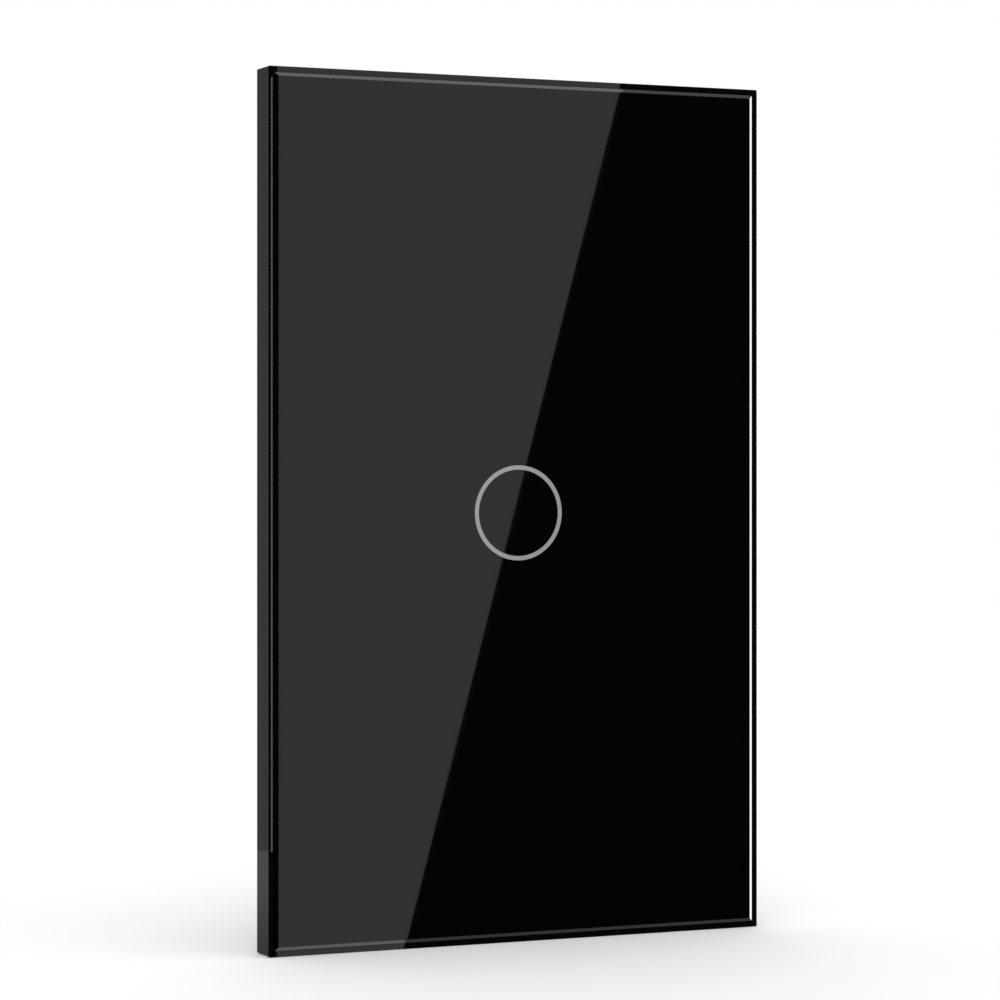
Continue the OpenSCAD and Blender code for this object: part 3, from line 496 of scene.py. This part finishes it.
# each CAD node's material and the width of its rounded edges in mm; 0 keeps them sharp, on thin sheets, where
# small forms leave no room, and on the plate, whose light lines need it
dress = {
    "glass_panel": (blackGlass, 0), "touch_ring": (ringEnamel, 0), "glass_backing": (inkBlack, 0),
    "panel_tape": (foamBlack, 0), "panel_frame": (glossBlack, 0), "light_diffuser": (frosted, 0.1),
    "mounting_strap": (zincSteel, 0.07), "rear_housing": (housingGrey, 0), "front_cover": (mattWhite, 0.1),
    "strap_screws": (zincSteel, 0.1), "touch_board": (boardGreen, 0), "touch_spring": (platedBrass, 0),
    "led_shroud": (mattWhite, 0.12), "indicator_leds": (mattWhite, 0.08), "touch_chip": (blackResin, 0.05),
    "board_screws": (zincSteel, 0.08), "board_socket": (blackResin, 0), "board_header": (blackResin, 0),
    "header_pins": (platedBrass, 0.05), "power_board": (boardGreen, 0), "power_screws": (zincSteel, 0.08),
    "transformer_core": (ferrite, 0.15), "transformer_winding": (windingTape, 0.2),
    "bulk_capacitor": (sleeveBlue, 0.3), "film_capacitor": (boxYellow, 0.2), "surge_varistor": (dipBlue, 0),
    "fuse": (resinBrown, 0.2),
    "bridge_rectifier": (blackResin, 0.1), "relay_base": (blackResin, 0.1), "relay_case": (relayBlue, 0.2),
    "relay_coil": (coilCopper, 0.1), "relay_yoke": (zincSteel, 0.02), "relay_contacts": (platedBrass, 0.08),
    "relay_armature": (zincSteel, 0), "terminal_block": (terminalGreen, 0.1),
    "terminal_contacts": (platedBrass, 0.08),
}
for i in (1, 2, 3):
    dress[f"terminal_clamp_{i}"] = (zincSteel, 0.05)
    dress[f"terminal_screw_{i}"] = (zincSteel, 0.1)
for nodeName, (material, edge) in dress.items():
    part = nodes[nodeName]
    part.data.materials.clear()
    part.data.materials.append(material)
    if edge:
        roundNode(part, edge)
print("nodes dressed:", len(dress))


# outline of a rounded rectangle in (x, z), in mm
def roundRect(width, height, radius, at=(0, 0), steps=6):
    points = []
    for k, (sx, sz) in enumerate(((1, 1), (-1, 1), (-1, -1), (1, -1))):
        for i in range(steps + 1):
            turn = math.pi / 2 * (k + i / steps)
            points.append((at[0] + sx * (width / 2 - radius) + radius * math.cos(turn),
                           at[1] + sz * (height / 2 - radius) + radius * math.sin(turn)))
    return points


# outline of a plain rectangle in (x, z), in mm
def rectangle(lowX, highX, lowZ, highZ):
    return [(lowX, lowZ), (highX, lowZ), (highX, highZ), (lowX, highZ)]


# outline of a circle in (x, z), in mm
def circle(radius, at, steps=32):
    turns = [2 * math.pi * i / steps for i in range(steps)]
    return [(at[0] + radius * math.cos(t), at[1] + radius * math.sin(t)) for t in turns]


# outline of a straight stroke between two points in (x, z), in mm
def stroke(start, end, width):
    along = Vector((end[0] - start[0], end[1] - start[1])).normalized()
    side = Vector((-along.y, along.x)) * width / 2
    a, b = Vector(start), Vector(end)
    return [tuple(a - side), tuple(b - side), tuple(b + side), tuple(a + side)]


# closed ring of new points at a depth, in mm
def addRing(shape, outline, y):
    return [shape.verts.new((x * mm, y * mm, z * mm)) for x, z in outline]


# faces between two rings of equal count
def joinRings(shape, first, second):
    for i in range(len(first)):
        j = (i + 1) % len(first)
        shape.faces.new((first[i], first[j], second[j], second[i]))


# faces along a row of rings, closed at both ends
def closeTube(shape, rings):
    for first, second in zip(rings, rings[1:]):
        joinRings(shape, first, second)
    shape.faces.new(rings[0])
    shape.faces.new(rings[-1])


# faces round a row of rings whose last one meets the first
def closeLoop(shape, rings):
    for i in range(len(rings)):
        joinRings(shape, rings[i], rings[(i + 1) % len(rings)])


# solid of one outline between two depths
def addPrism(shape, outline, lowY, highY):
    front, back = addRing(shape, outline, lowY), addRing(shape, outline, highY)
    shape.faces.new(front)
    shape.faces.new(back)
    joinRings(shape, front, back)


# solid between an outer and an inner outline of equal count
def addBand(shape, outer, inner, lowY, highY):
    closeLoop(shape, [addRing(shape, outer, lowY), addRing(shape, outer, highY),
                      addRing(shape, inner, highY), addRing(shape, inner, lowY)])


# round wire along a path of points in mm
def addWire(shape, path, radius, sides):
    rings = []
    across = None
    for i, point in enumerate(path):
        heading = (path[min(i + 1, len(path) - 1)] - path[max(i - 1, 0)]).normalized()
        if across is None:
            across = heading.orthogonal().normalized()
        across = (across - heading * across.dot(heading)).normalized()
        third = heading.cross(across)
        ring = []
        for k in range(sides):
            turn = 2 * math.pi * k / sides
            outward = across * math.cos(turn) + third * math.sin(turn)
            ring.append(shape.verts.new((point + radius * outward) * mm))
        rings.append(ring)
    closeTube(shape, rings)


# low dome of (radius, y) steps round a centre in (x, z)
def addDome(shape, profile, at, steps=20):
    closeTube(shape, [addRing(shape, circle(radius, at, steps), y) for radius, y in profile])


# turns a shape into a piece that rides on a body, with rounded edges if asked
def finishPiece(name, shape, material, body="wall_unit", edge=0.0):
    bmesh.ops.recalc_face_normals(shape, faces=shape.faces)
    mesh = bpy.data.meshes.new(name)
    shape.to_mesh(mesh)
    shape.free()
    mesh.shade_smooth()
    mesh.set_sharp_from_angle(angle=math.radians(edgeStyle["shadeFrom"]))
    mesh.materials.append(material)
    piece = bpy.data.objects.new(name, mesh)
    scene.collection.objects.link(piece)
    if edge:
        addEdge(piece, edge)
    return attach(piece, body)


ringCentre = (-0.45, -0.4)  # middle of the touch ring in (x, z)

# touch spring, wound smooth
coil = {"radius": 4.2, "wire": 0.5, "turns": 4, "pitch": 1.1975, "footY": 3.2, "startY": 2.6, "legDrop": -0.5,
        "legLean": 0.05, "legSteps": 8, "steps": 36, "sides": 14}
shape = bmesh.new()
route = []
legEnds = [Vector((coil["radius"], coil["footY"], coil["legDrop"])),
           Vector((coil["radius"], coil["startY"] + coil["legLean"], coil["legDrop"])),
           Vector((coil["radius"], coil["startY"], 0))]
for i in range(coil["legSteps"]):
    t = i / coil["legSteps"]
    route.append(legEnds[0] * (1 - t) ** 2 + legEnds[1] * 2 * t * (1 - t) + legEnds[2] * t ** 2)
for i in range(coil["turns"] * coil["steps"] + 1):
    turn = 2 * math.pi * i / coil["steps"]
    route.append(Vector((coil["radius"] * math.cos(turn), coil["startY"] - coil["pitch"] * i / coil["steps"],
                         coil["radius"] * math.sin(turn))))
coilMiddle = Vector((ringCentre[0], 0, ringCentre[1]))
addWire(shape, [point + coilMiddle for point in route], coil["wire"] / 2, coil["sides"])
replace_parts(finishPiece("touch_coil", shape, platedBrass), "touch_spring")

# solder that holds the spring's foot, and its pad
solder = {"at": (ringCentre[0] + coil["radius"], ringCentre[1] + coil["legDrop"]),
          "profile": [(0.95, 3.22), (0.95, 3.17), (0.8, 3.05), (0.55, 2.85), (0.36, 2.68)]}
shape = bmesh.new()
addDome(shape, solder["profile"], solder["at"])
finishPiece("spring_solder", shape, tinSolder)

# copper pad behind the glass that the spring feels through, with a hole in its middle
pad = {"outer": 4.7, "inner": 1.2, "rootY": -2.76, "backY": -2.68, "steps": 48, "edge": 0.02}
shape = bmesh.new()
addBand(shape, circle(pad["outer"], ringCentre, pad["steps"]), circle(pad["inner"], ringCentre, pad["steps"]),
        pad["rootY"], pad["backY"])
finishPiece("sense_pad", shape, padCopper, "front_panel", pad["edge"])

# light windows of the four lamps
ledWindow = {"circleR": 6.2, "width": 0.85, "height": 1.4, "corner": 0.3, "lowY": 2.33, "highY": 2.45,
             "edge": 0.04}
shape = bmesh.new()
for i in range(4):
    turn = math.pi / 4 + math.pi / 2 * i
    outline = []
    for x, z in roundRect(ledWindow["width"], ledWindow["height"], ledWindow["corner"], (ledWindow["circleR"], 0)):
        outline.append((ringCentre[0] + x * math.cos(turn) - z * math.sin(turn),
                        ringCentre[1] + x * math.sin(turn) + z * math.cos(turn)))
    addPrism(shape, outline, ledWindow["lowY"], ledWindow["highY"])
finishPiece("led_windows", shape, ledResin, edge=ledWindow["edge"])

# chip resistors between the lamps, with plated ends
resistor = {"circleR": 6.1, "length": 1.6, "width": 0.8, "end": 0.3, "lowY": 2.75, "highY": 3.22, "rim": 0.02,
            "inset": 0.1, "corner": 0.05, "cornerSteps": 2, "edge": 0.03}
bodies, ends = bmesh.new(), bmesh.new()
for turn in (90, 180, 270):
    centre = (ringCentre[0] + resistor["circleR"] * math.cos(math.radians(turn)),
              ringCentre[1] + resistor["circleR"] * math.sin(math.radians(turn)))
    upright = turn == 180
    span = (resistor["width"], resistor["length"]) if upright else (resistor["length"], resistor["width"])
    outline = roundRect(span[0] - resistor["inset"], span[1] - resistor["inset"], resistor["corner"], centre,
                        resistor["cornerSteps"])
    addPrism(bodies, outline, resistor["lowY"], resistor["highY"])
    for side in (-1, 1):
        shift = side * (resistor["length"] - resistor["end"]) / 2
        at = (centre[0], centre[1] + shift) if upright else (centre[0] + shift, centre[1])
        cap = (resistor["width"], resistor["end"]) if upright else (resistor["end"], resistor["width"])
        outline = roundRect(*cap, resistor["corner"], at, resistor["cornerSteps"])
        addPrism(ends, outline, resistor["lowY"] - resistor["rim"], resistor["highY"])
finishPiece("chip_resistors", bodies, blackResin, edge=resistor["edge"])
finishPiece("chip_ends", ends, tinSolder, edge=resistor["edge"])

# front cover: a stiffening rib, an arrow that points up, and round ejector marks
coverMarks = {"ribOuter": (27.4, 47.4), "ribWidth": 0.8, "ribCorner": 2.5, "frontY": -0.4, "rootY": 0.06,
              "arrow": [(-2.4, 16.2), (2.4, 16.2), (0, 20)], "stem": (1.4, 3.6), "stemAt": (0, 14.5),
              "stemCorner": 0.1, "stemSteps": 2, "edge": 0.04,
              "ejectorR": 1.6, "ejectorY": -0.05, "ejectors": [(-9.5, 17), (9.5, 17), (-9.5, -17), (9.5, -17)]}
shape = bmesh.new()
ribW, ribH = coverMarks["ribOuter"]
addBand(shape, roundRect(ribW, ribH, coverMarks["ribCorner"]),
        roundRect(ribW - 2 * coverMarks["ribWidth"], ribH - 2 * coverMarks["ribWidth"],
                  coverMarks["ribCorner"] - coverMarks["ribWidth"]), coverMarks["frontY"], coverMarks["rootY"])
addPrism(shape, coverMarks["arrow"], coverMarks["frontY"], coverMarks["rootY"])
addPrism(shape, roundRect(*coverMarks["stem"], coverMarks["stemCorner"], coverMarks["stemAt"], coverMarks["stemSteps"]),
         coverMarks["frontY"], coverMarks["rootY"])
for at in coverMarks["ejectors"]:
    addPrism(shape, circle(coverMarks["ejectorR"], at), coverMarks["ejectorY"], coverMarks["rootY"])
finishPiece("cover_ribs", shape, mattWhite, edge=coverMarks["edge"])

# pressed rims round the strap's fixing slots
slotRim = {"width": 4.2, "length": 7, "spacing": 83.3, "band": 0.9, "frontY": -1.36, "rootY": -1.15,
           "flat": 0.001, "steps": 10, "edge": 0.1}
shape = bmesh.new()
for side in (-1, 1):
    at = (0, side * slotRim["spacing"] / 2)
    corner = slotRim["width"] / 2 - slotRim["flat"]
    inner = roundRect(slotRim["width"], slotRim["length"], corner, at, slotRim["steps"])
    outer = roundRect(slotRim["width"] + 2 * slotRim["band"], slotRim["length"] + 2 * slotRim["band"],
                      corner + slotRim["band"], at, slotRim["steps"])
    addBand(shape, outer, inner, slotRim["frontY"], slotRim["rootY"])
finishPiece("slot_rims", shape, zincSteel, edge=slotRim["edge"])

# ribs and ejector marks in the channel behind the frame
frameRibs = {"rootY": -1.65, "backY": -0.3, "thick": 0.8, "sideX": (28.4, 35.0), "sideZ": (8, 24, 40),
             "endZ": (54.0, 57.4), "topX": (-24, -8, 8, 24), "lowX": (-26, -12, 12, 26),
             "ejectorR": 1.5, "ejectorY": -1.52, "ejectorAt": [(31.5, 16), (31.5, 48)], "edge": 0.08}
shape = bmesh.new()
half = frameRibs["thick"] / 2
for sx in (-1, 1):
    for sz in (-1, 1):
        for z in frameRibs["sideZ"]:
            lowX, highX = sorted((sx * frameRibs["sideX"][0], sx * frameRibs["sideX"][1]))
            outline = rectangle(lowX, highX, sz * z - half, sz * z + half)
            addPrism(shape, outline, frameRibs["rootY"], frameRibs["backY"])
        for x, z in frameRibs["ejectorAt"]:
            mark = circle(frameRibs["ejectorR"], (sx * x, sz * z))
            addPrism(shape, mark, frameRibs["rootY"], frameRibs["ejectorY"])
for sz, places in ((1, frameRibs["topX"]), (-1, frameRibs["lowX"])):
    for x in places:
        lowZ, highZ = sorted((sz * frameRibs["endZ"][0], sz * frameRibs["endZ"][1]))
        addPrism(shape, rectangle(x - half, x + half, lowZ, highZ), frameRibs["rootY"], frameRibs["backY"])
finishPiece("frame_ribs", shape, glossBlack, "front_panel", frameRibs["edge"])

# guide ribs along the sides of the housing
sideRibs = {"rootX": 22.9, "crestX": 23.4, "root": 1.5, "crest": 0.8, "lowY": 3, "highY": 23.5,
            "places": (-22, -11, 0, 11, 22), "edge": 0.15}
shape = bmesh.new()
for sx in (-1, 1):
    for z in sideRibs["places"]:
        rootX, crestX = sx * sideRibs["rootX"], sx * sideRibs["crestX"]
        outline = [(rootX, z - sideRibs["root"] / 2), (crestX, z - sideRibs["crest"] / 2),
                   (crestX, z + sideRibs["crest"] / 2), (rootX, z + sideRibs["root"] / 2)]
        addPrism(shape, outline, sideRibs["lowY"], sideRibs["highY"])
finishPiece("side_ribs", shape, housingGrey, edge=sideRibs["edge"])

# ribs that part the terminals on the back of the block
poleRibs = {"places": (-13.3, -4.5, 4.5, 13.3), "width": 1.0, "centreZ": -25.6, "length": 12.6,
            "corner": 0.45, "steps": 4, "lowY": 26.5, "highY": 27.0, "edge": 0.12}
shape = bmesh.new()
for x in poleRibs["places"]:
    outline = roundRect(poleRibs["width"], poleRibs["length"], poleRibs["corner"], (x, poleRibs["centreZ"]),
                        poleRibs["steps"])
    addPrism(shape, outline, poleRibs["lowY"], poleRibs["highY"])
finishPiece("pole_ribs", shape, terminalGreen, edge=poleRibs["edge"])

# lips round the wire mouths under the block, bevelled toward the opening
lips = {"places": (-9, 0, 9), "gap": 4.5, "centreY": 16.7, "band": 0.7, "flare": 0.2, "corner": 0.3, "steps": 4,
        "lowZ": -32.95, "rootZ": -32.5, "edge": 0.06}
shape = bmesh.new()
for x in lips["places"]:
    rings = []
    section = [(0, lips["rootZ"]), (lips["flare"], lips["lowZ"]), (lips["band"], lips["lowZ"]),
               (lips["band"], lips["rootZ"])]
    for grow, z in section:
        span = lips["gap"] + 2 * grow
        outline = roundRect(span, span, lips["corner"] + grow, (x, lips["centreY"]), lips["steps"])
        rings.append([shape.verts.new((px * mm, py * mm, z * mm)) for px, py in outline])
    closeLoop(shape, rings)
finishPiece("mouth_lips", shape, terminalGreen, edge=lips["edge"])

# foil label in the recess, with a border and a wiring sketch without words
label = {"size": (31.4, 23.4), "corner": 1.2, "at": (0, 10), "rootY": 26.68, "faceY": 26.82, "inkY": 26.84,
         "border": (29.4, 21.4), "borderCorner": 0.8, "line": 0.35, "inkSink": 0.01, "edge": 0.03}
shape = bmesh.new()
addPrism(shape, roundRect(*label["size"], label["corner"], label["at"]), label["rootY"], label["faceY"])
finishPiece("rating_foil", shape, foilSilver, edge=label["edge"])
sketch = {"circles": [(-9, 3, 1.3), (0, 3, 1.3), (9, 3, 1.3), (9, 11.5, 2.2), (0, 11.5, 2.2), (0, 11.5, 1.1),
                      (-9, 14.2, 0.55), (-9, 8.4, 0.55)],
          "strokes": [((-9, 4.3), (-9, 7.85)), ((-8.6, 8.8), (-6.2, 13.2)), ((-9, 14.75), (-9, 17.2)),
                      ((-9.17, 17.2), (9.17, 17.2)), ((9, 17.03), (9, 13.7)), ((9, 9.3), (9, 4.3)),
                      ((0, 4.3), (0, 9.3)), ((7.55, 10.05), (10.45, 12.95)), ((7.55, 12.95), (10.45, 10.05))]}
shape = bmesh.new()
lineW, inkRoot = label["line"], label["faceY"] - label["inkSink"]
addBand(shape, roundRect(*label["border"], label["borderCorner"], label["at"]),
        roundRect(label["border"][0] - 2 * lineW, label["border"][1] - 2 * lineW, label["borderCorner"] - lineW,
                  label["at"]), inkRoot, label["inkY"])
for x, z, radius in sketch["circles"]:
    outer, inner = circle(radius + lineW / 2, (x, z)), circle(radius - lineW / 2, (x, z))
    addBand(shape, outer, inner, inkRoot, label["inkY"])
for start, end in sketch["strokes"]:
    addPrism(shape, stroke(start, end, lineW), inkRoot, label["inkY"])
finishPiece("label_sketch", shape, labelInk)
